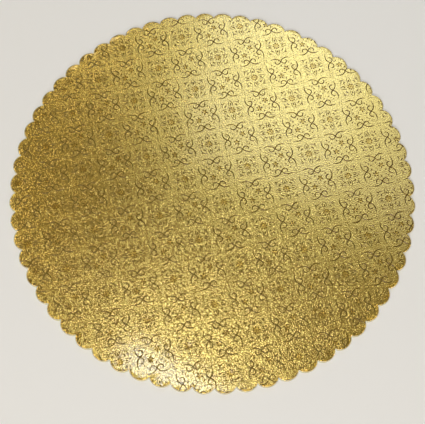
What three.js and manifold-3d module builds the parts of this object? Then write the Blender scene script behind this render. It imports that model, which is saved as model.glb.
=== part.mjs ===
// Cake board: a thin round card with a scalloped edge and a gold foil face, pressed with a
// traditional pattern of scroll frames and rosettes. Millimetres, +Z up, origin at the centre
// of the underside, and +X through the tip of a scallop.

import * as THREE from 'three';
import Module from 'manifold-3d';
import { mergeVertices } from 'three/addons/utils/BufferGeometryUtils.js';

// Board
const TIP_DIAMETER = 355.6;          // across opposite scallop tips
const THICKNESS = 3.0;               // underside to the flat of the foil face
const SCALLOP_COUNT = 62;
const SCALLOP_RADIUS = 10.85;        // arc of one scallop
const EDGE_ROLL_WIDTH = 0.9;         // the top edge is pressed down over this width
const EDGE_ROLL_DROP = 0.5;          // and by this much
const SCALLOP_STEPS = 6;             // flats along one scallop

// Pattern: square cells, scroll frames and rosettes by turns
const CELL = 28.47;                  // side of one cell
const PATTERN_TURN = 13.24;          // degrees from +X to a row of cells
const PATTERN_X = 1.9;              // centre of the scroll frame nearest the middle
const PATTERN_Y = 11.8;
const GROOVE_WIDTH = 1.3;            // of a pressed line at the face
const GROOVE_DEPTH = 0.45;

// One side of a scroll frame, as half of a brace, measured from the middle of that side
const CUSP_DIP = 2.9;                // how far the cusp stands in from the side of the cell
const CROWN_REACH = 4.2;             // along the side, to the highest point
const CROWN_RISE = 0.35;             // of that point past the side of the cell
const ARM_REACH = 9.6;               // along the side, to the end of the line

// Flowers
const ROSETTE_RADIUS = 7.4;          // tip of a petal, in the middle of a rosette cell
const ROSETTE_WAIST = 2.9;
const BLOSSOM_RADIUS = 5.4;          // corner of the blossom in the middle of a scroll frame
const PETALS = 4;
const FLOWER_DEPTH = 0.55;

const CUTTER_LIFT = 0.3;             // the cutting shapes stand this far above the face

const tipRadius = TIP_DIAMETER / 2;
const lobeCentre = tipRadius - SCALLOP_RADIUS;
const halfPitch = Math.PI / SCALLOP_COUNT;

const wasm = await Module();
wasm.setup();

// Scalloped outline, moved in by inset: arcs round the same lobe centres
function outline(inset) {
  const radius = SCALLOP_RADIUS - inset;
  const halfWidth = lobeCentre * Math.sin(halfPitch);
  const halfSpan = Math.asin(halfWidth / radius) + halfPitch;
  const points = [];
  for (let lobe = 0; lobe < SCALLOP_COUNT; lobe += 1) {
    const heading = 2 * halfPitch * lobe;
    const centre = new THREE.Vector2(lobeCentre, 0).rotateAround(new THREE.Vector2(), heading);
    const step = (2 * halfSpan) / SCALLOP_STEPS;
    for (let i = 0; i < SCALLOP_STEPS; i += 1) {
      const angle = heading - halfSpan + i * step;
      points.push(new THREE.Vector2(radius, 0).rotateAround(new THREE.Vector2(), angle).add(centre));
    }
  }
  return points;
}

// Closed geometry from a list of corner points and index triples
function closedGeometry(corners, triples) {
  const geometry = new THREE.BufferGeometry();
  geometry.setAttribute('position', new THREE.Float32BufferAttribute(corners.flat(), 3));
  geometry.setIndex(triples.flat());
  return geometry;
}

// Solid between rings of points that lie one above the other, with flat ends
function ringedSolid(rings) {
  const count = rings[0].points.length;
  const corners = [];
  const triples = [];
  for (const ring of rings) {
    for (const p of ring.points) corners.push([p.x, p.y, ring.z]);
  }
  for (let level = 0; level < rings.length - 1; level += 1) {
    for (let i = 0; i < count; i += 1) {
      const a = level * count + i;
      const b = level * count + ((i + 1) % count);
      triples.push([a, b, b + count], [a, b + count, a + count]);
    }
  }
  const top = (rings.length - 1) * count;
  for (const [a, b, c] of THREE.ShapeUtils.triangulateShape(rings[0].points, [])) {
    triples.push([a, c, b]);
  }
  for (const [a, b, c] of THREE.ShapeUtils.triangulateShape(rings[rings.length - 1].points, [])) {
    triples.push([top + a, top + b, top + c]);
  }
  return closedGeometry(corners, triples);
}

function boardBlank() {
  return ringedSolid([
    { z: 0, points: outline(0) },
    { z: THICKNESS - EDGE_ROLL_DROP, points: outline(0) },
    { z: THICKNESS, points: outline(EDGE_ROLL_WIDTH) },
  ]);
}

// Wedge that presses one line into the face, running out to a point at both ends
function lineCutter(path) {
  const faceZ = THICKNESS + CUTTER_LIFT;
  const half = (GROOVE_WIDTH / 2) * (1 + CUTTER_LIFT / GROOVE_DEPTH);
  const corners = [[path[0].x, path[0].y, faceZ]];
  for (let i = 1; i < path.length - 1; i += 1) {
    const along = path[i + 1].clone().sub(path[i - 1]).normalize();
    const side = new THREE.Vector2(-along.y, along.x).multiplyScalar(half);
    corners.push([path[i].x + side.x, path[i].y + side.y, faceZ]);
    corners.push([path[i].x - side.x, path[i].y - side.y, faceZ]);
    corners.push([path[i].x, path[i].y, THICKNESS - GROOVE_DEPTH]);
  }
  const end = path[path.length - 1];
  corners.push([end.x, end.y, faceZ]);
  const last = corners.length - 1;
  const triples = [[0, 2, 1], [0, 1, 3], [0, 3, 2]];
  for (let a = 1; a + 3 < last; a += 3) {
    const [left, right, low] = [a, a + 1, a + 2];
    triples.push([left, right, right + 3], [left, right + 3, left + 3]);
    triples.push([low, left, left + 3], [low, left + 3, low + 3]);
    triples.push([right, low, low + 3], [right, low + 3, right + 3]);
  }
  triples.push([last - 3, last - 2, last], [last - 2, last - 1, last], [last - 1, last - 3, last]);
  return closedGeometry(corners, triples);
}

// Point that presses one flower into the face: its rim takes the reaches by turns, petal by petal
function flowerCutter(centre, turn, reaches) {
  const faceZ = THICKNESS + CUTTER_LIFT;
  const spread = 1 + CUTTER_LIFT / FLOWER_DEPTH;
  const corners = [];
  const triples = [];
  const count = PETALS * reaches.length;
  for (let i = 0; i < count; i += 1) {
    const reach = reaches[i % reaches.length] * spread;
    const angle = turn + (2 * Math.PI * i) / count;
    const p = new THREE.Vector2(reach, 0).rotateAround(new THREE.Vector2(), angle);
    corners.push([centre.x + p.x, centre.y + p.y, faceZ]);
    triples.push([count, i, (i + 1) % count], [count + 1, (i + 1) % count, i]);
  }
  corners.push([centre.x, centre.y, faceZ], [centre.x, centre.y, THICKNESS - FLOWER_DEPTH]);
  return closedGeometry(corners, triples);
}

// Half of the brace line on the +Y side of a cell, from the end of the line to the cusp
function halfBrace() {
  const side = CELL / 2;
  return [
    new THREE.Vector2(ARM_REACH, side),
    new THREE.Vector2(CROWN_REACH, side + CROWN_RISE),
    new THREE.Vector2(0, side - CUSP_DIP),
  ];
}

function bracePath() {
  const half = halfBrace();
  const mirrored = half.slice(0, -1).reverse().map((p) => new THREE.Vector2(-p.x, p.y));
  return [...half, ...mirrored];
}

const patternTurn = THREE.MathUtils.degToRad(PATTERN_TURN);

function cellCentre(column, row) {
  const offset = new THREE.Vector2(column * CELL, row * CELL);
  return offset.rotateAround(new THREE.Vector2(), patternTurn).add(new THREE.Vector2(PATTERN_X, PATTERN_Y));
}

function scrollFrameCutters(centre) {
  const cutters = [];
  for (let side = 0; side < 4; side += 1) {
    const turn = patternTurn + (side * Math.PI) / 2;
    const path = bracePath().map((p) => p.rotateAround(new THREE.Vector2(), turn).add(centre));
    cutters.push(lineCutter(path));
  }
  cutters.push(flowerCutter(centre, patternTurn + Math.PI / 4, [BLOSSOM_RADIUS]));
  return cutters;
}

function rosetteCutters(centre) {
  return [flowerCutter(centre, patternTurn, [ROSETTE_RADIUS, ROSETTE_WAIST])];
}

function patternCutters() {
  const reach = Math.ceil(tipRadius / CELL) + 1;
  const cutters = [];
  for (let column = -reach; column <= reach; column += 1) {
    for (let row = -reach; row <= reach; row += 1) {
      const centre = cellCentre(column, row);
      if (centre.length() > tipRadius + CELL / 2) continue;
      const framed = (column + row) % 2 === 0;
      cutters.push(...(framed ? scrollFrameCutters(centre) : rosetteCutters(centre)));
    }
  }
  return cutters;
}

function toManifold(geometry) {
  const merged = mergeVertices(geometry);
  return new wasm.Manifold(new wasm.Mesh({
    numProp: 3,
    vertProperties: new Float32Array(merged.attributes.position.array),
    triVerts: new Uint32Array(merged.index.array),
  }));
}

function fromManifold(solid) {
  const mesh = solid.getMesh();
  const geometry = new THREE.BufferGeometry();
  geometry.setAttribute('position', new THREE.BufferAttribute(mesh.vertProperties, 3));
  geometry.setIndex(new THREE.BufferAttribute(mesh.triVerts, 1));
  return geometry;
}

function cakeBoard() {
  let cutters = patternCutters().map(toManifold);
  while (cutters.length > 1) {
    const joined = [];
    for (let i = 0; i < cutters.length; i += 2) {
      joined.push(i + 1 < cutters.length ? cutters[i].add(cutters[i + 1]) : cutters[i]);
    }
    cutters = joined;
  }
  const board = toManifold(boardBlank()).subtract(cutters[0]);
  const foil = new THREE.MeshStandardMaterial({ color: 0xb79a45, roughness: 0.35, metalness: 1.0 });
  const mesh = new THREE.Mesh(fromManifold(board), foil);
  mesh.name = 'cake_board';
  return mesh;
}

const model = new THREE.Group();
model.add(cakeBoard());

export default model;
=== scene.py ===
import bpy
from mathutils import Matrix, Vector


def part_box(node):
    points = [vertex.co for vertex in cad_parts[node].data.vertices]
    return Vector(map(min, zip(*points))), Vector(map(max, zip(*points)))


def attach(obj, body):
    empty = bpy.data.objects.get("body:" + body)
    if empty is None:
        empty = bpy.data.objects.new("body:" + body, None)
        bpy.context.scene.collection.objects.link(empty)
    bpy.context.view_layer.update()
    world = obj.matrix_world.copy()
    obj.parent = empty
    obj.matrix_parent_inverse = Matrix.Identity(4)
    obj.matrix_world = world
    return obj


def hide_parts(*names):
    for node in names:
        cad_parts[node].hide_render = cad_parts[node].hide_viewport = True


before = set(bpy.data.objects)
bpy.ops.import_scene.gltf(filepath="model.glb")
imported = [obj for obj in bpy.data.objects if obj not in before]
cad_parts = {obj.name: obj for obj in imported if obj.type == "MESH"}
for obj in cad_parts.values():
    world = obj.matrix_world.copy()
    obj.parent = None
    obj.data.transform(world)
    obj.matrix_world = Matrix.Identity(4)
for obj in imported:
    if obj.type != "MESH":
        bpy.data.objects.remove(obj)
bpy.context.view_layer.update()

import math

import bpy
from mathutils import Quaternion, Vector

bl_info = {
    "name": "Embossed Cake Board",
    "version": (1, 0, 0),
    "blender": (4, 5, 0),
    "location": "View3D > Sidebar > Cake Board",
    "description": "Models a scalloped card cake board with a pressed gold foil face",
    "category": "Add Mesh",
}

NODE = "cake_board"
PIECE = "embossed_cake_board"
MM = 0.001
LOW, HIGH = (Vector(corner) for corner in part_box(NODE))
TIP_RADIUS = HIGH.x
THICKNESS = HIGH.z - LOW.z

# Places of the card's two materials in the board's list, where the foil is at 0
CARD_EDGE, UNDERSIDE = 1, 2

# A face whose normal has a lower Z than this belongs to the underside
FACING_DOWN = -0.9


# Sizes and colours that a user would change

class BoardSizes(bpy.types.PropertyGroup):
    """The die-cut blank"""

    scallops: bpy.props.IntProperty(
        name="Scallops", description="Number of scallops round the edge", default=62, min=8
    )
    scallop_radius: bpy.props.FloatProperty(
        name="Scallop radius", description="Radius of the arc of one scallop",
        default=10.85 * MM, unit="LENGTH", subtype="DISTANCE",
    )
    scallop_facets: bpy.props.IntProperty(
        name="Scallop facets", description="Facets in the full circle of a scallop", default=32, min=8
    )
    roll_width: bpy.props.FloatProperty(
        name="Roll width", description="How far in from the edge the face starts to turn down",
        default=0.9 * MM, unit="LENGTH", subtype="DISTANCE",
    )
    roll_drop: bpy.props.FloatProperty(
        name="Roll drop", description="How far down the face turns at the edge",
        default=0.5 * MM, unit="LENGTH", subtype="DISTANCE",
    )


class PatternSizes(bpy.types.PropertyGroup):
    """The pressed pattern of scroll frames and rosettes"""

    cell: bpy.props.FloatProperty(
        name="Cell", description="Side of one square cell of the pattern",
        default=28.47 * MM, unit="LENGTH", subtype="DISTANCE",
    )
    turn: bpy.props.FloatProperty(
        name="Turn", description="Turn of the rows of cells from the X axis",
        default=math.radians(13.24), unit="ROTATION", subtype="ANGLE",
    )
    origin: bpy.props.FloatVectorProperty(
        name="Origin", description="Centre of the scroll frame nearest the middle of the board",
        default=(1.9 * MM, 11.8 * MM), size=2, unit="LENGTH", subtype="TRANSLATION",
    )
    line_width: bpy.props.FloatProperty(
        name="Line width", description="Width of a pressed scroll line at the face",
        default=0.92 * MM, unit="LENGTH", subtype="DISTANCE",
    )
    line_depth: bpy.props.FloatProperty(
        name="Line depth", description="Depth of a pressed scroll line",
        default=0.3 * MM, unit="LENGTH", subtype="DISTANCE",
    )


class FinishColours(bpy.types.PropertyGroup):
    """Colours of the board and of the room round it, as sRGB hex"""

    foil: bpy.props.StringProperty(
        name="Gold foil", description="sRGB hex colour of the lacquered foil", default="DAC06A"
    )
    # The pressed lines are darker than the foil: the foil in the grooves is duller, and their darker colour
    # is painted shade in the grooves
    pressed_foil_with_painted_shade: bpy.props.StringProperty(
        name="Pressed foil", description="sRGB hex colour of the foil in the pressed lines",
        default="664C0C",
    )
    heart_foil: bpy.props.StringProperty(
        name="Heart foil", description="sRGB hex colour of the foil in the flower hearts", default="CBAC50"
    )
    card_edge: bpy.props.StringProperty(
        name="Card edge", description="sRGB hex colour of the cut edge of the card", default="E4DDC2"
    )
    underside: bpy.props.StringProperty(
        name="Underside", description="sRGB hex colour of the white lined underside", default="E6E3DA"
    )
    floor: bpy.props.StringProperty(
        name="Floor", description="sRGB hex colour of the floor", default="F2F3F6"
    )
    walls: bpy.props.StringProperty(
        name="Walls", description="sRGB hex colour of the room low down", default="DEDBD3"
    )
    ceiling: bpy.props.StringProperty(
        name="Ceiling", description="sRGB hex colour of the room overhead, before its strength",
        default="F4DFA8",
    )


class StageSizes(bpy.types.PropertyGroup):
    """Camera and light"""

    camera: bpy.props.FloatVectorProperty(
        name="Camera", description="Where the camera stands",
        default=(-17.7 * MM, -212.8 * MM, 553.1 * MM), size=3, unit="LENGTH", subtype="TRANSLATION",
    )
    aim: bpy.props.FloatVectorProperty(
        name="Aim", description="Point that the camera looks at",
        default=(-1.3 * MM, -23.8 * MM, 0.0), size=3, unit="LENGTH", subtype="TRANSLATION",
    )
    roll: bpy.props.FloatProperty(
        name="Roll", description="Turn of the camera about its own line of sight",
        default=math.radians(5.21), unit="ROTATION", subtype="ANGLE",
    )
    lens: bpy.props.FloatProperty(
        name="Lens", description="Focal length in millimetres on a 36 mm wide sensor", default=56.86
    )
    room_light: bpy.props.FloatProperty(
        name="Room light", description="Strength of the even light from overhead", default=0.29, min=0.0
    )


# Tools of the bench

def linear(hex_colour, strength=1.0):
    """An sRGB hex colour times a strength, as linear red, green and blue with an alpha of one."""
    parts = [int(hex_colour[i:i + 2], 16) / 255 for i in (0, 2, 4)]
    light = [p / 12.92 if p <= 0.04045 else ((p + 0.055) / 1.055) ** 2.4 for p in parts]
    return [strength * p for p in light] + [1.0]


def deselect_all():
    bpy.ops.object.select_all(action="DESELECT")


def pick(*objects):
    """Makes these objects the only ones selected, with the first one active."""
    deselect_all()
    for each in objects:
        each.select_set(True)
    bpy.context.view_layer.objects.active = objects[0]


def apply_modifier(piece, kind, **settings):
    """Adds a modifier with its settings and applies it."""
    pick(piece)
    modifier = piece.modifiers.new(kind.title(), kind)
    for name, value in settings.items():
        setattr(modifier, name, value)
    bpy.ops.object.modifier_apply(modifier=modifier.name)


# The blank

# Bands of the rolled edge from outside to inside, as shares of its width and of its drop
ROLL_BANDS = ((0.35, 0.45), (0.30, 0.33), (0.35, 0.22))
WELD = 0.05 * MM


def lobe_arc(sizes):
    """Leaves in edit mode the arc of one scallop, cut from a full circle between two notches."""
    deselect_all()
    centre = TIP_RADIUS - sizes.scallop_radius
    bpy.ops.mesh.primitive_circle_add(
        vertices=sizes.scallop_facets, radius=sizes.scallop_radius, location=(centre, 0, 0),
        enter_editmode=True,
    )
    half_pitch = math.pi / sizes.scallops
    for way in (1, -1):
        notch = (-math.sin(half_pitch), way * math.cos(half_pitch), 0)
        bpy.ops.mesh.select_all(action="SELECT")
        bpy.ops.mesh.bisect(plane_co=(0, 0, 0), plane_no=notch, clear_outer=True)
    bpy.ops.mesh.select_all(action="SELECT")
    bpy.ops.mesh.bisect(plane_co=(centre, 0, 0), plane_no=(1, 0, 0), clear_inner=True)


def blank(sizes):
    """The scalloped card: arcs spun round the middle, filled, pulled up and rolled over at the top."""
    lobe_arc(sizes)
    bpy.ops.mesh.select_all(action="SELECT")
    bpy.ops.mesh.spin(
        steps=sizes.scallops, dupli=True, angle=2 * math.pi, use_auto_merge=False,
        center=(0, 0, 0), axis=(0, 0, 1),
    )
    bpy.ops.mesh.select_all(action="SELECT")
    bpy.ops.mesh.remove_doubles(threshold=WELD)
    bpy.ops.mesh.select_all(action="SELECT")
    bpy.ops.mesh.edge_face_add()
    bpy.ops.mesh.extrude_region_move(
        TRANSFORM_OT_translate={"value": (0, 0, THICKNESS - sizes.roll_drop)}
    )
    for across, down in ROLL_BANDS:
        bpy.ops.mesh.inset(
            thickness=across * sizes.roll_width, depth=down * sizes.roll_drop, use_even_offset=True
        )
    bpy.ops.mesh.select_all(action="SELECT")
    bpy.ops.mesh.normals_make_consistent(inside=False)
    bpy.ops.object.mode_set(mode="OBJECT")
    board = bpy.context.object
    board.name = PIECE
    pick(board)
    bpy.ops.object.transform_apply(location=True, rotation=True, scale=True)
    return board


class CAKEBOARD_OT_blank(bpy.types.Operator):
    """Models the scalloped card blank with its rolled top edge"""

    bl_idname = "cakeboard.blank"
    bl_label = "Card blank"

    def execute(self, context):
        blank(context.scene.board_sizes)
        return {"FINISHED"}


# The pressed pattern: closed shapes that are cut out of the face
# Bare lengths here are in millimetres, angles in degrees, and places are from the middle of a cell

# Scroll frame: the arm's points run along the side of the cell, the second number out past that side
SCROLL_ARM = ((9.8, -0.2), (5.6, 0.5), (2.2, -0.6))
CUSP_DIP = 3.0
CURL_CENTRE_ALONG = -3.2
CURL_CENTRE_DIP = 3.1
CURL_RADIUS = 2.3
CURL_DEGREES = (-55, -95, -140, -182, -215)
CORNER_DOT_INSET = 1.05
CORNER_DOT = 0.9

# Two blossoms in each scroll frame, one each way from its middle, with leaves and berries round them
BLOSSOM_PLACE = (3.5, 3.6)
BLOSSOM_TURN = 45
BLOSSOM_PETALS = 5
BLOSSOM_PETAL_REACH = 1.9
BLOSSOM_PETAL_SIZE = (1.2, 2.4)
BLOSSOM_EYE = 0.9

# Leaves as x, y, length and turn, and berries as x and y
LEAVES = ((6.4, -1.0, 2.6, 30), (-0.6, 6.8, 2.2, 70), (1.1, -1.0, 1.2, 0))
LEAF_WIDTH = 1.0
BERRIES = ((9.1, -8.9), (7.2, -7.2), (5.5, -5.2), (7.3, 9.1), (9.2, 7.3))
BERRY = 1.2

# Rosette: an eye, a ring of small petals, four long petals in an outline, and two fans at each corner
ROSETTE_EYE = 1.1
RING_PETALS = 8
RING_PETAL_REACH = 2.5
RING_PETAL_SIZE = (1.0, 2.0)
LONG_PETAL_REACH = 6.1
LONG_PETAL_SIZE = (1.3, 2.6)
LONG_PETAL_OUTLINE = ((0.3, 10.2), (1.45, 8.0), (1.75, 6.0), (1.4, 4.2))
OUTLINE_WIDTH = 0.6

# Fans as the radius of the arc and the width of its line, with a dot beyond them
FAN_CENTRE = 3.5
FANS = ((5.2, 0.6), (2.2, 1.0))
FAN_DEGREES = (4, 32, 58, 86)
FAN_DOT_REACH = 7.9
FAN_DOT = 1.4

# Hearts: broad shallow dimples under the flowers
BLOSSOM_HEART = 4.2
ROSETTE_HEART = 6.4
HEART_DEPTH = 0.1
HEART_SIDES = 12

# Depths of the finer lines, as shares of the depth of a scroll line
OUTLINE_DEPTH_SHARE = 0.7
FAN_DEPTH_SHARE = 0.8

# The middle of a bar stands above the face by this share of its line's width, before it is flattened
CUTTER_LIFT_SHARE = 0.1

# A line narrows to this share of its width at its ends
LINE_END_SHARE = 0.5
CUTTER_WELD = 0.001 * MM

# Cells are pressed as long as their middle is less than this share of a cell past the edge
OVERHANG_SHARE = 0.7
FACE_TOLERANCE = 0.01 * MM
SHARP_ANGLE = math.radians(60)


def line_cutter(points, width, depth, steps=2):
    """A square bar along a smooth line, one corner down, that presses a groove of this width and depth."""
    lift = CUTTER_LIFT_SHARE * width
    deselect_all()
    bpy.ops.curve.primitive_bezier_curve_add(location=(0, 0, THICKNESS))
    line = bpy.context.object
    line.data.twist_mode = "Z_UP"
    line.data.bevel_depth = width / 2 + lift
    line.data.bevel_resolution = 0
    line.data.use_fill_caps = True
    line.data.resolution_u = steps
    spline = line.data.splines[0]
    spline.bezier_points.add(len(points) - len(spline.bezier_points))
    for point, (x, y) in zip(spline.bezier_points, points):
        point.co = (x, y, lift)
        point.handle_left_type = point.handle_right_type = "AUTO"
    for end in (spline.bezier_points[0], spline.bezier_points[-1]):
        end.radius = LINE_END_SHARE
    line.scale = (1, 1, 2 * depth / width)
    bpy.ops.object.convert(target="MESH")
    bpy.ops.object.transform_apply(location=True, rotation=True, scale=True)
    bpy.ops.object.mode_set(mode="EDIT")
    bpy.ops.mesh.select_all(action="SELECT")
    bpy.ops.mesh.remove_doubles(threshold=CUTTER_WELD)
    bpy.ops.mesh.select_all(action="SELECT")
    bpy.ops.mesh.normals_make_consistent(inside=False)
    bpy.ops.object.mode_set(mode="OBJECT")
    return bpy.context.object


def petal_cutter(x, y, width, depth, length=None, turn=0.0, sides=8):
    """A cone, point down, that presses a dimple of this width, and of this length if it is a petal."""
    deselect_all()
    bpy.ops.mesh.primitive_cone_add(
        vertices=sides, radius1=0, radius2=width, depth=2 * depth, location=(x, y, THICKNESS)
    )
    dimple = bpy.context.object
    dimple.scale = ((length or width) / width, 1, 1)
    dimple.rotation_euler = (0, 0, turn)
    bpy.ops.object.transform_apply(location=True, rotation=True, scale=True)
    return dimple


def turned_copies(shape, count=4):
    """The shape and copies of it, turned about the middle of the cell."""
    made = [shape]
    for i in range(1, count):
        pick(shape)
        bpy.ops.object.duplicate(linked=False)
        copy = bpy.context.object
        copy.rotation_euler = (0, 0, 2 * math.pi * i / count)
        bpy.ops.object.transform_apply(location=True, rotation=True, scale=True)
        made.append(copy)
    return made


def mirrored(points):
    return [(-x, y) for x, y in points]


def scroll_points(cell):
    """One S scroll on the +Y side of a frame: an arm along the side, then a curl inside it."""
    side = cell / 2
    arm = [(along * MM, side + out * MM) for along, out in SCROLL_ARM]
    cusp = (0.0, side - CUSP_DIP * MM)
    centre = Vector((CURL_CENTRE_ALONG * MM, side - CURL_CENTRE_DIP * MM))
    curl = []
    for degrees in CURL_DEGREES:
        angle = math.radians(degrees)
        curl.append(tuple(centre + CURL_RADIUS * MM * Vector((math.cos(angle), math.sin(angle)))))
    return arm + [cusp] + curl


def join(shapes, name):
    pick(*shapes)
    bpy.ops.object.join()
    joined = bpy.context.object
    joined.name = name
    return joined


def corner_dots(sizes):
    """Cutters of the dots at the four corners of a cell."""
    corner = sizes.cell / 2 - CORNER_DOT_INSET * MM
    return turned_copies(petal_cutter(corner, corner, CORNER_DOT * MM, sizes.line_depth))


def blossom(way, depth):
    """Cutters of one blossom with its leaves and berries, on one side of the frame's middle."""
    made = []
    middle = Vector([part * MM for part in BLOSSOM_PLACE]) * way
    petal_width, petal_length = BLOSSOM_PETAL_SIZE
    for petal in range(BLOSSOM_PETALS):
        turn = math.radians(BLOSSOM_TURN + 360 / BLOSSOM_PETALS * petal) + (0 if way > 0 else math.pi)
        place = middle + BLOSSOM_PETAL_REACH * MM * Vector((math.cos(turn), math.sin(turn)))
        made.append(petal_cutter(place.x, place.y, petal_width * MM, depth, petal_length * MM, turn))
    made.append(petal_cutter(middle.x, middle.y, BLOSSOM_EYE * MM, depth))
    for x, y, length, degrees in LEAVES:
        made.append(petal_cutter(
            x * MM * way, y * MM * way, LEAF_WIDTH * MM, depth, length * MM, math.radians(degrees)
        ))
    for x, y in BERRIES:
        made.append(petal_cutter(x * MM * way, y * MM * way, BERRY * MM, depth))
    return made


def scroll_cell(sizes):
    """Cutters of one scroll frame with two blossoms, as two sets, since its scrolls cross in pairs."""
    points = scroll_points(sizes.cell)
    width, depth = sizes.line_width, sizes.line_depth
    first = turned_copies(line_cutter(points, width, depth))
    second = turned_copies(line_cutter(mirrored(points), width, depth))
    first += corner_dots(sizes)
    for way in (1, -1):
        first += blossom(way, depth)
    return join(first, "scroll_cutter"), join(second, "scroll_cutter_back")


def rosette_cell(sizes):
    """Cutters of one rosette, with its petals, their outlines, and its fans with a dot beyond."""
    depth = sizes.line_depth
    shapes = corner_dots(sizes)
    shapes += turned_copies(petal_cutter(FAN_DOT_REACH * MM, FAN_DOT_REACH * MM, FAN_DOT * MM, depth))
    width, length = (part * MM for part in LONG_PETAL_SIZE)
    shapes += turned_copies(petal_cutter(0, LONG_PETAL_REACH * MM, width, depth, length, math.pi / 2))
    width, length = (part * MM for part in RING_PETAL_SIZE)
    shapes += turned_copies(petal_cutter(RING_PETAL_REACH * MM, 0, width, depth, length), RING_PETALS)
    shapes.append(petal_cutter(0, 0, ROSETTE_EYE * MM, depth))
    outline = [(x * MM, y * MM) for x, y in LONG_PETAL_OUTLINE]
    for points in (outline, mirrored(outline)):
        shapes += turned_copies(line_cutter(points, OUTLINE_WIDTH * MM, OUTLINE_DEPTH_SHARE * depth))
    for reach, width in FANS:
        fan = []
        for degrees in FAN_DEGREES:
            angle = math.radians(degrees)
            fan.append((
                FAN_CENTRE * MM + reach * MM * math.cos(angle),
                FAN_CENTRE * MM + reach * MM * math.sin(angle),
            ))
        shapes += turned_copies(line_cutter(fan, width * MM, FAN_DEPTH_SHARE * depth, steps=1))
    return join(shapes, "rosette_cutter")


def heart_cell(spots, width):
    """Cutters of the broad shallow hearts of one cell's flowers."""
    hearts = []
    for x, y in spots:
        hearts.append(petal_cutter(x * MM, y * MM, width * MM, HEART_DEPTH * MM, sides=HEART_SIDES))
    return join(hearts, "heart_cutter")


def laid_out(cutter, odd, sizes):
    """Copies of a cell's cutter over the whole board, on the cells of one colour of a chequerboard."""
    turn = Quaternion((0, 0, 1), sizes.turn)
    reach = math.ceil(TIP_RADIUS / sizes.cell) + 1
    copies = []
    for column in range(-reach, reach + 1):
        for row in range(-reach, reach + 1):
            if (column + row) % 2 != odd:
                continue
            place = turn @ (Vector((column, row, 0)) * sizes.cell) + Vector((*sizes.origin, 0))
            if place.length > TIP_RADIUS + OVERHANG_SHARE * sizes.cell:
                continue
            pick(cutter)
            bpy.ops.object.duplicate(linked=False)
            copy = bpy.context.object
            copy.location = place
            copy.rotation_euler = (0, 0, sizes.turn)
            copies.append(copy)
    pick(*copies)
    bpy.ops.object.transform_apply(location=True, rotation=True, scale=True)
    bpy.data.objects.remove(cutter)
    return join(copies, "laid_cutters")


def rule_face(board, sizes):
    """Cuts the flat face into squares of half a cell, so that no one polygon has to hold many holes."""
    pick(board)
    bpy.ops.object.mode_set(mode="EDIT")
    bpy.ops.mesh.select_mode(type="FACE")
    step = sizes.cell / 2
    lines = math.ceil(TIP_RADIUS / step) + 1
    for quarter in (0, math.pi / 2):
        across = Quaternion((0, 0, 1), sizes.turn + quarter) @ Vector((1, 0, 0))
        for line in range(-lines, lines + 1):
            place = Vector((*sizes.origin, 0)) + across * (line + 0.5) * step
            bpy.ops.mesh.select_all(action="DESELECT")
            bpy.ops.object.mode_set(mode="OBJECT")
            for face in board.data.polygons:
                face.select = face.center.z > THICKNESS - FACE_TOLERANCE
            bpy.ops.object.mode_set(mode="EDIT")
            bpy.ops.mesh.bisect(plane_co=place, plane_no=across)
    bpy.ops.object.mode_set(mode="OBJECT")


def smooth_lines(board):
    """Rounds the shading inside the pressed lines, and keeps it crisp where they meet the flat face."""
    pick(board)
    bpy.ops.object.shade_smooth()
    bpy.ops.object.mode_set(mode="EDIT")
    bpy.ops.mesh.select_mode(type="EDGE")
    bpy.ops.mesh.select_all(action="DESELECT")
    bpy.ops.mesh.edges_select_sharp(sharpness=SHARP_ANGLE)
    bpy.ops.mesh.mark_sharp()
    for slot in range(len(board.material_slots)):
        bpy.ops.mesh.select_mode(type="FACE")
        bpy.ops.mesh.select_all(action="DESELECT")
        board.active_material_index = slot
        bpy.ops.object.material_slot_select()
        bpy.ops.mesh.region_to_loop()
        bpy.ops.mesh.mark_sharp()
    bpy.ops.object.mode_set(mode="OBJECT")


class CAKEBOARD_OT_pattern(bpy.types.Operator):
    """Presses the scroll frames and rosettes into the face of the board"""

    bl_idname = "cakeboard.pattern"
    bl_label = "Pressed pattern"

    def execute(self, context):
        sizes = context.scene.pattern_sizes
        board = bpy.data.objects[PIECE]
        rule_face(board, sizes)
        colours = context.scene.finish_colours
        framed, crossing = scroll_cell(sizes)
        x, y = BLOSSOM_PLACE
        blossoms = heart_cell([(x, y), (-x, -y)], BLOSSOM_HEART)
        middles = heart_cell([(0, 0)], ROSETTE_HEART)
        satin = gold_foil("satin_gold_foil_in_the_hearts", colours.heart_foil)
        # The foil in the lines is rougher, and it is darker in colour as painted shade in the grooves
        dulled_foil_with_painted_shade = gold_foil("gold_foil_dulled_with_painted_shade_in_the_lines", colours.pressed_foil_with_painted_shade)
        cutters = (
            (join([laid_out(blossoms, 0, sizes), laid_out(middles, 1, sizes)], "hearts"), satin),
            (join([laid_out(framed, 0, sizes), laid_out(rosette_cell(sizes), 1, sizes)], "lines"), dulled_foil_with_painted_shade),
            (laid_out(crossing, 0, sizes), dulled_foil_with_painted_shade),
        )
        for cutter, foil in cutters:
            cutter.data.materials.append(foil)
            apply_modifier(
                board, "BOOLEAN",
                operation="DIFFERENCE", solver="MANIFOLD", material_mode="TRANSFER", object=cutter,
            )
            bpy.data.objects.remove(cutter)
        smooth_lines(board)
        bake_layout(board)
        return {"FINISHED"}


# Materials

def add_node(tree, kind, inputs=(), **settings):
    """Adds a node, sets it, and fills its inputs with values or with other nodes' outputs."""
    made = tree.nodes.new(kind)
    for name, value in settings.items():
        setattr(made, name, value)
    for key, value in dict(inputs).items():
        if isinstance(value, bpy.types.NodeSocket):
            tree.links.new(value, made.inputs[key])
        else:
            made.inputs[key].default_value = value
    return made


def new_material(name):
    """A material with an empty node tree but for its output, and that output's surface socket."""
    material = bpy.data.materials.new(name)
    material.use_nodes = True
    material.node_tree.nodes.clear()
    output = add_node(material.node_tree, "ShaderNodeOutputMaterial")
    return material, material.node_tree, output.inputs["Surface"]


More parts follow.
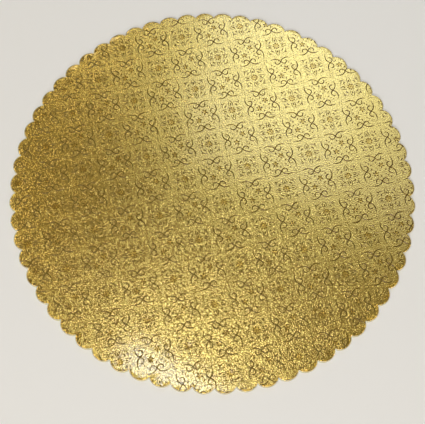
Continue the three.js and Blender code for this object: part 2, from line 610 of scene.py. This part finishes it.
# Roughness of each foil, and depth of its grain
FOILS = {
    "gold_lacquered_foil": (0.13, 0.205 * MM),
    "satin_gold_foil_in_the_hearts": (0.18, 0.2 * MM),
    # Duller foil in the pressed lines; its darker colour is painted shade in the grooves
    "gold_foil_dulled_with_painted_shade_in_the_lines": (0.34, 0.1 * MM),
}
LACQUER = 0.8
LACQUER_ROUGHNESS = 0.12

# Sizes of the foil's relief, and of the card's fibres where they show
WAVE_SIZE = 22 * MM
WAVE_DEPTH = 0.12 * MM
GRAIN_SIZE = 1.0 * MM
CRUMPLE_SIZE = 0.9 * MM
CRUMPLE_SHARE = 0.35
FIBRE_DEPTH = 0.05 * MM
FIBRE_SHADE = 0.86


def gold_foil(name, colour):
    """Gold lacquered metal film on paper, pressed by an engraved roll: a mirror broken by fine grain."""
    roughness, grain_depth = FOILS[name]
    material, tree, surface = new_material(name)
    place = add_node(tree, "ShaderNodeTexCoord").outputs["Object"]
    waves = add_node(tree, "ShaderNodeTexNoise", {"Vector": place, "Scale": 1 / WAVE_SIZE, "Detail": 1.0})
    grain = add_node(tree, "ShaderNodeTexNoise", {"Vector": place, "Scale": 1 / GRAIN_SIZE, "Detail": 1.0})
    crumple = add_node(tree, "ShaderNodeTexVoronoi", {"Vector": place, "Scale": 1 / CRUMPLE_SIZE})
    normal = None
    layers = (
        (waves.outputs["Fac"], WAVE_DEPTH),
        (grain.outputs["Fac"], grain_depth),
        (crumple.outputs["Distance"], CRUMPLE_SHARE * grain_depth),
    )
    for height, depth in layers:
        bump = add_node(tree, "ShaderNodeBump", {"Height": height, "Distance": depth, "Strength": 1.0})
        if normal:
            tree.links.new(normal, bump.inputs["Normal"])
        normal = bump.outputs["Normal"]
    shader = add_node(
        tree, "ShaderNodeBsdfPrincipled",
        {
            "Base Color": linear(colour), "Metallic": 1.0, "Roughness": roughness,
            "Coat Weight": LACQUER, "Coat Roughness": LACQUER_ROUGHNESS, "Normal": normal,
        },
    )
    tree.links.new(shader.outputs["BSDF"], surface)
    return material


def card(name, colour, fibre, roughness):
    """Bleached card with short fibres that show as a faint mottle, matt to the eye."""
    material, tree, surface = new_material(name)
    place = add_node(tree, "ShaderNodeTexCoord").outputs["Object"]
    mottle = add_node(tree, "ShaderNodeTexNoise", {"Vector": place, "Scale": 1 / fibre, "Detail": 4.0})
    tone = add_node(
        tree, "ShaderNodeMix",
        {"Factor": mottle.outputs["Fac"], "A": linear(colour), "B": linear(colour, FIBRE_SHADE)},
        data_type="RGBA",
    )
    relief = add_node(
        tree, "ShaderNodeBump", {"Height": mottle.outputs["Fac"], "Distance": FIBRE_DEPTH, "Strength": 0.6}
    )
    shader = add_node(
        tree, "ShaderNodeBsdfPrincipled",
        {"Base Color": tone.outputs["Result"], "Roughness": roughness, "Normal": relief.outputs["Normal"]},
    )
    tree.links.new(shader.outputs["BSDF"], surface)
    return material


# Places in the bake map, as shares of its square, and how far the cut edge spreads out in it
FACE_CENTRE, FACE_RADIUS = 0.5, 0.455
BACK_CENTRE, BACK_RADIUS = 0.05, 0.045
WALL_SPREAD = 4.0

# A face of the cut edge whose normal has a lower Z than this is spread out so
WALL_STEEPNESS = 0.5


def bake_layout(board):
    """A UV map for baked textures: the face as seen from above, its cut edge round it, the back small."""
    layout = board.data.uv_layers.new(name="OFBake")
    for face in board.data.polygons:
        below = face.normal.z < FACING_DOWN
        wall = not below and face.normal.z < WALL_STEEPNESS and face.material_index == CARD_EDGE
        for corner in face.loop_indices:
            point = board.data.vertices[board.data.loops[corner].vertex_index].co
            share = point.xy / TIP_RADIUS
            centre, radius = (BACK_CENTRE, BACK_RADIUS) if below else (FACE_CENTRE, FACE_RADIUS)
            if wall:
                radius *= 1 + WALL_SPREAD * (THICKNESS - point.z) / TIP_RADIUS
            layout.data[corner].uv = (centre + radius * share.x, centre + radius * share.y)


# Share of the rolled edge's drop that the foil reaches down
FOIL_REACH = 0.3


class CAKEBOARD_OT_finish(bpy.types.Operator):
    """Gives the blank its foil face, cut edge and white underside"""

    bl_idname = "cakeboard.finish"
    bl_label = "Foil and card"

    def execute(self, context):
        colours = context.scene.finish_colours
        board = bpy.data.objects[PIECE]
        for material in (
            gold_foil("gold_lacquered_foil", colours.foil),
            card("cut_card_edge", colours.card_edge, fibre=1.5 * MM, roughness=0.8),
            card("white_lined_underside", colours.underside, fibre=3.0 * MM, roughness=0.7),
        ):
            board.data.materials.append(material)
        foil_ends = THICKNESS - FOIL_REACH * context.scene.board_sizes.roll_drop
        for face in board.data.polygons:
            if face.normal.z < FACING_DOWN:
                face.material_index = UNDERSIDE
            elif face.center.z < foil_ends:
                face.material_index = CARD_EDGE
        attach(board, "root")
        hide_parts(NODE)
        return {"FINISHED"}


# Floor, light and camera

FLOOR_SIDE = 6.0
FLOOR_GAP = 0.05 * MM
SENSOR_WIDTH = 36.0
NEAREST_IN_VIEW = 0.01

# Sines of the angles above the floor between which the walls turn into the ceiling
WALL_TOP, CEILING_START = 0.1, 0.45

# Softboxes: name, place, width and height in metres, power in watts and colour
SOFTBOXES = (
    ("back_light", (0.62, 1.15, 1.5), (1.25, 1.15), 4.0, "D6E6FF"),
    ("back_light_above", (0.26, 1.36, 1.5), (0.75, 0.4), 0.9, "D6E6FF"),
    ("back_light_below", (0.27, 0.93, 1.5), (0.54, 0.66), 1.5, "D6E6FF"),
    ("overhead_light", (-0.04, -0.07, 1.5), (0.42, 0.09), 1.8, "E4ECFF"),
    ("front_light", (-0.3, -1.9, 1.6), (1.6, 1.0), 26.0, "FFFFFF"),
)
SMALL_LIGHT_PLACES = ((-1.05, 0.5), (-0.85, -0.35), (-0.6, 1.5), (0.3, -0.75), (1.15, -0.3))
SMALL_LIGHT_HEIGHT = 1.5
SMALL_LIGHT_SIDE = 0.22
SMALL_LIGHT_WATTS = 1.2


def floor(colours):
    deselect_all()
    bpy.ops.mesh.primitive_plane_add(size=FLOOR_SIDE, location=(0, 0, LOW.z - FLOOR_GAP))
    ground = bpy.context.object
    ground.name = "floor"
    material, tree, surface = new_material("matt_pale_floor")
    shader = add_node(
        tree, "ShaderNodeBsdfPrincipled", {"Base Color": linear(colours.floor), "Roughness": 0.6}
    )
    tree.links.new(shader.outputs["BSDF"], surface)
    ground.data.materials.append(material)


def softbox(name, place, size, watts, colour):
    """A rectangular soft light that faces the middle of the board."""
    deselect_all()
    bpy.ops.object.light_add(type="AREA", location=place)
    lamp = bpy.context.object
    lamp.name = name
    lamp.data.shape = "RECTANGLE"
    lamp.data.size, lamp.data.size_y = size
    lamp.data.energy = watts
    lamp.data.color = linear(colour)[:3]
    lamp.rotation_euler = Vector(place).to_track_quat("Z", "Y").to_euler()


def room(colours, strength):
    """A pale room: an even warm light from overhead, and brighter walls round the floor."""
    world = bpy.data.worlds.new("soft_room")
    bpy.context.scene.world = world
    world.use_nodes = True
    tree = world.node_tree
    back = tree.nodes["Background"]
    direction = add_node(tree, "ShaderNodeTexCoord").outputs["Generated"]
    height = add_node(tree, "ShaderNodeSeparateXYZ", {"Vector": direction}).outputs["Z"]
    overhead = add_node(
        tree, "ShaderNodeMapRange", {"Value": height, "From Min": WALL_TOP, "From Max": CEILING_START}
    )
    tone = add_node(
        tree, "ShaderNodeMix",
        {
            "Factor": overhead.outputs["Result"],
            "A": linear(colours.walls), "B": linear(colours.ceiling, strength),
        },
        data_type="RGBA",
    )
    tree.links.new(tone.outputs["Result"], back.inputs["Color"])


def camera(stage):
    place, aim = Vector(stage.camera), Vector(stage.aim)
    deselect_all()
    bpy.ops.object.camera_add(location=place)
    eye = bpy.context.object
    eye.name = "camera"
    eye.rotation_mode = "QUATERNION"
    eye.rotation_quaternion = (aim - place).to_track_quat("-Z", "Y") @ Quaternion((0, 0, 1), stage.roll)
    eye.data.sensor_fit = "HORIZONTAL"
    eye.data.sensor_width = SENSOR_WIDTH
    eye.data.lens = stage.lens
    eye.data.clip_start = NEAREST_IN_VIEW
    bpy.context.scene.camera = eye


class CAKEBOARD_OT_stage(bpy.types.Operator):
    """Sets the pale floor, the soft lights and the camera"""

    bl_idname = "cakeboard.stage"
    bl_label = "Floor, light and camera"

    def execute(self, context):
        colours = context.scene.finish_colours
        context.scene.view_settings.view_transform = "Standard"
        floor(colours)
        room(colours, context.scene.stage_sizes.room_light)
        for name, place, size, watts, colour in SOFTBOXES:
            softbox(name, place, size, watts, colour)
        for x, y in SMALL_LIGHT_PLACES:
            place = (x, y, SMALL_LIGHT_HEIGHT)
            softbox("small_light", place, (SMALL_LIGHT_SIDE, SMALL_LIGHT_SIDE), SMALL_LIGHT_WATTS, "FFF4E0")
        camera(context.scene.stage_sizes)
        return {"FINISHED"}


class CAKEBOARD_PT_panel(bpy.types.Panel):
    """Lists the steps and sizes of the cake board"""

    bl_idname = "CAKEBOARD_PT_panel"
    bl_label = "Cake Board"
    bl_space_type = "VIEW_3D"
    bl_region_type = "UI"
    bl_category = "Cake Board"

    def draw(self, context):
        for step in STEPS:
            self.layout.operator(step.bl_idname)
        for name, group in GROUPS.items():
            box = self.layout.box()
            box.label(text=group.__doc__)
            for key in group.__annotations__:
                box.prop(getattr(context.scene, name), key)


STEPS = (CAKEBOARD_OT_blank, CAKEBOARD_OT_finish, CAKEBOARD_OT_pattern, CAKEBOARD_OT_stage)
GROUPS = {
    "board_sizes": BoardSizes,
    "pattern_sizes": PatternSizes,
    "finish_colours": FinishColours,
    "stage_sizes": StageSizes,
}


def register():
    for name, group in GROUPS.items():
        bpy.utils.register_class(group)
        setattr(bpy.types.Scene, name, bpy.props.PointerProperty(type=group))
    for each in (*STEPS, CAKEBOARD_PT_panel):
        bpy.utils.register_class(each)


def unregister():
    for each in (CAKEBOARD_PT_panel, *reversed(STEPS)):
        bpy.utils.unregister_class(each)
    for name, group in reversed(GROUPS.items()):
        delattr(bpy.types.Scene, name)
        bpy.utils.unregister_class(group)


def main():
    register()
    bpy.ops.cakeboard.blank()
    bpy.ops.cakeboard.finish()
    bpy.ops.cakeboard.pattern()
    bpy.ops.cakeboard.stage()


if __name__ == "__main__":
    main()
